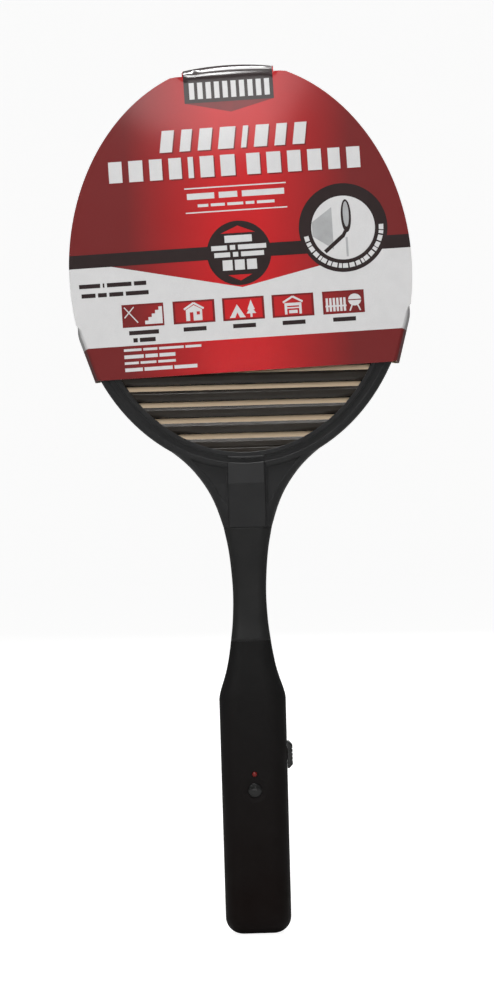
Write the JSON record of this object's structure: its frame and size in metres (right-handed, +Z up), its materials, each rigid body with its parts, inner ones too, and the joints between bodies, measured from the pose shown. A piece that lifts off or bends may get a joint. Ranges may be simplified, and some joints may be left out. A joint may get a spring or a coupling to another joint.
{
  "type": "electric fly swatter",
  "caption": "Battery fly swatter with an oval slatted head, flexible neck, straight grip and a removable folded retail card.",
  "frame": {"origin": "centre of the handle's butt end", "axes": "+Z up the handle to the head, -Y is the front with the push button, +X is the user's right with the side switch"},
  "size_m": [0.196, 0.0293, 0.4944],
  "materials": {
    "handle_plastic": "fine spark texture",
    "frame_plastic": "satin moulded",
    "guard_plastic": "gloss moulded",
    "neck_rubber": "smooth soft-touch",
    "button_gloss": "polished",
    "inner_plastic": "plain moulded",
    "screw_steel": "zinc plated",
    "spring_steel": "plain",
    "electrode_steel": "drawn wire",
    "nickel_contact": "nickel plated",
    "brass_strip": "plain",
    "cell_jacket": "printed film, plain",
    "board_laminate": "solder mask",
    "ferrite": "sintered",
    "copper_winding": "enamelled wire",
    "film_capacitor": "epoxy dipped",
    "component_black": "epoxy",
    "resistor_tan": "lacquer",
    "red_lens": "clear tinted",
    "lead_insulation": "flexible",
    "printed_card": "gloss laminate over kraft board"
  },
  "bodies": {
    "handle": {"handle_front_shell": "handle_plastic", "handle_rear_shell": "handle_plastic", "handle_screws": "screw_steel", "battery_tray": "inner_plastic", "aa_cell_left": "cell_jacket", "aa_cell_right": "cell_jacket", "battery_springs": "nickel_contact", "battery_contacts": "nickel_contact", "circuit_board": "board_laminate", "transformer_core": "ferrite", "transformer_coil": "copper_winding", "storage_capacitor": "film_capacitor", "rectifier_diodes": "component_black", "resistors": "resistor_tan", "switching_transistor": "component_black", "button_switch": "component_black", "slide_switch_body": "nickel_contact", "led_indicator": "red_lens", "lower_blade_anchor": "inner_plastic", "hook_pin": "screw_steel", "button_spring": "spring_steel"},
    "head": {"front_frame": "frame_plastic", "rear_frame": "frame_plastic", "head_screws": "screw_steel", "front_guard": "guard_plastic", "rear_guard": "guard_plastic", "electrode_carrier": "inner_plastic", "live_rods": "electrode_steel", "return_rods": "electrode_steel", "live_bus_strip": "brass_strip", "return_bus_strip": "brass_strip", "upper_blade_anchor": "inner_plastic", "head_leads": "lead_insulation", "neck_sleeve": "neck_rubber", "neck_blade": "spring_steel", "neck_leads": "lead_insulation"},
    "push_button": {"push_button": "button_gloss", "switch_plunger": "component_black"},
    "side_switch": {"side_switch_knob": "button_gloss"},
    "battery_cover": {"battery_cover": "handle_plastic"},
    "hang_hook": {"hang_hook": "frame_plastic"},
    "package_sleeve": {"package_sleeve": "printed_card"}
  },
  "joints": [
    {"name": "neck_flex", "type": "hinge", "parent": "handle", "child": "head", "pos_m": [0, 0, 0.1995], "axis": [1, 0, 0], "range_deg": [-45, 45], "stiffness_Nm_per_rad": 1.2, "deforming": ["neck_sleeve", "neck_blade", "neck_leads"]},
    {"name": "button_press", "type": "slide", "parent": "handle", "child": "push_button", "axis": [0, 1, 0], "range_m": [0, 0.0012], "stiffness_N_per_m": 900, "deforming": ["button_spring"]},
    {"name": "side_switch_slide", "type": "slide", "parent": "handle", "child": "side_switch", "axis": [0, 0, 1], "range_m": [0, 0.004]},
    {"name": "battery_cover_lift", "type": "slide", "parent": "handle", "child": "battery_cover", "axis": [0, 1, 0], "range_m": [0, 0.04]},
    {"name": "hook_hinge", "type": "hinge", "parent": "handle", "child": "hang_hook", "pos_m": [0, 0.0126, 0.118], "axis": [1, 0, 0], "range_deg": [0, 125]},
    {"name": "card_slide", "type": "slide", "parent": "head", "child": "package_sleeve", "axis": [0, 0, 1], "range_m": [0, 0.235]}
  ]
}
